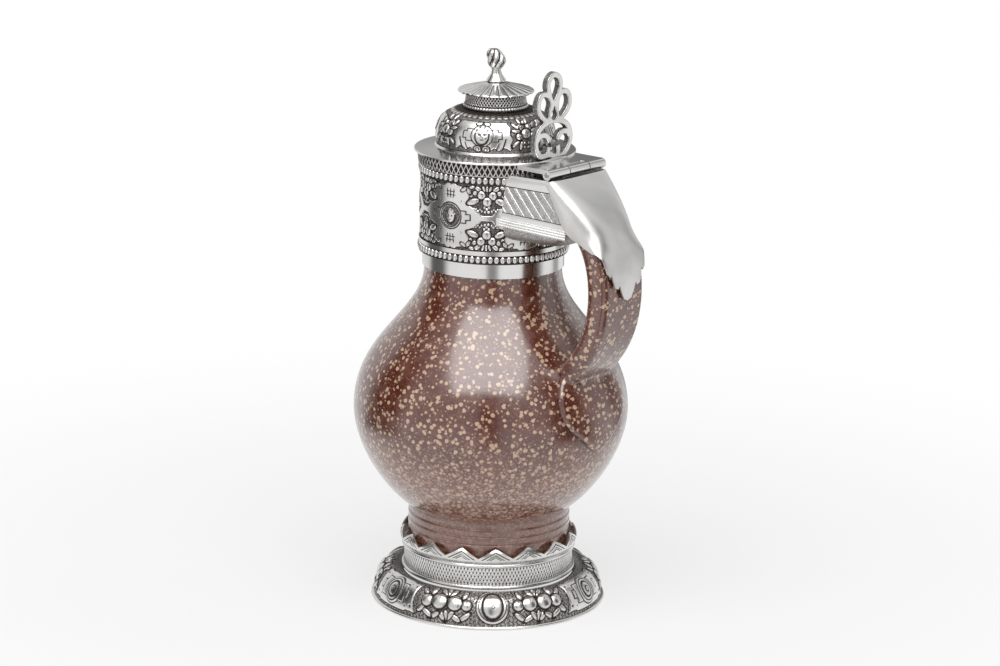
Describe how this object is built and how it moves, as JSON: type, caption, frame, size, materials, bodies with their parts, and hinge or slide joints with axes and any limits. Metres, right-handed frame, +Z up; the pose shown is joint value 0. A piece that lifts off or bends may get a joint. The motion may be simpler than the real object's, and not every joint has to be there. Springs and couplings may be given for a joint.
{
  "type": "tigerware jug",
  "caption": "Globular speckled stoneware jug with a strap handle, in a domed silver foot and chased neck mount, with a hinged domed lid, thumbpiece and finial.",
  "frame": {"origin": "centre of the foot's resting face on the table", "axes": "+Z up, +X from the jug's axis towards the handle, +Y to the right seen from the spout side looking at the handle"},
  "size_m": [0.1416, 0.127, 0.2604],
  "materials": {
    "stoneware": "salt-glazed brown stoneware with pale speckles, glossy",
    "silver": "polished sterling silver, chased, with darkened recesses",
    "steel": "plain turned metal",
    "plaster": "dry plaster bedding, matt"
  },
  "bodies": {
    "jug": {"box_belly": "silver", "box_centre_knuckle": "silver", "box_moulding_left": "silver", "box_moulding_right": "silver", "box_side_left": "silver", "box_side_right": "silver", "box_top_plate": "silver", "foot_base": "silver", "foot_bedding": "plaster", "foot_lower_moulding": "silver", "foot_rim_wire": "silver", "foot_stamped_band": "silver", "foot_upper_moulding": "silver", "handle_cover_plate": "silver", "hinge_pin": "steel", "lower_bead_wire": "silver", "lower_fillet_wire": "silver", "mouth_lining": "silver", "neck_band": "silver", "neck_bedding": "plaster", "neck_skirt": "silver", "stoneware_body": "stoneware", "stoneware_handle": "stoneware", "trellis_rim": "silver", "upper_bead_wire": "silver", "vandyke_collar": "silver"},
    "lid": {"finial": "silver", "finial_boss": "silver", "finial_nut": "steel", "lid_bezel": "silver", "lid_brim": "silver", "lid_cap": "silver", "lid_collar": "silver", "lid_dome": "silver", "lid_hinge_leaf": "silver", "thumbpiece": "silver"}
  },
  "joints": [
    {"name": "lid_hinge", "type": "hinge", "parent": "jug", "child": "lid", "pos_m": [0.0467, 0, 0.2105], "axis": [0, 1, 0], "range_deg": [0, 110]}
  ]
}
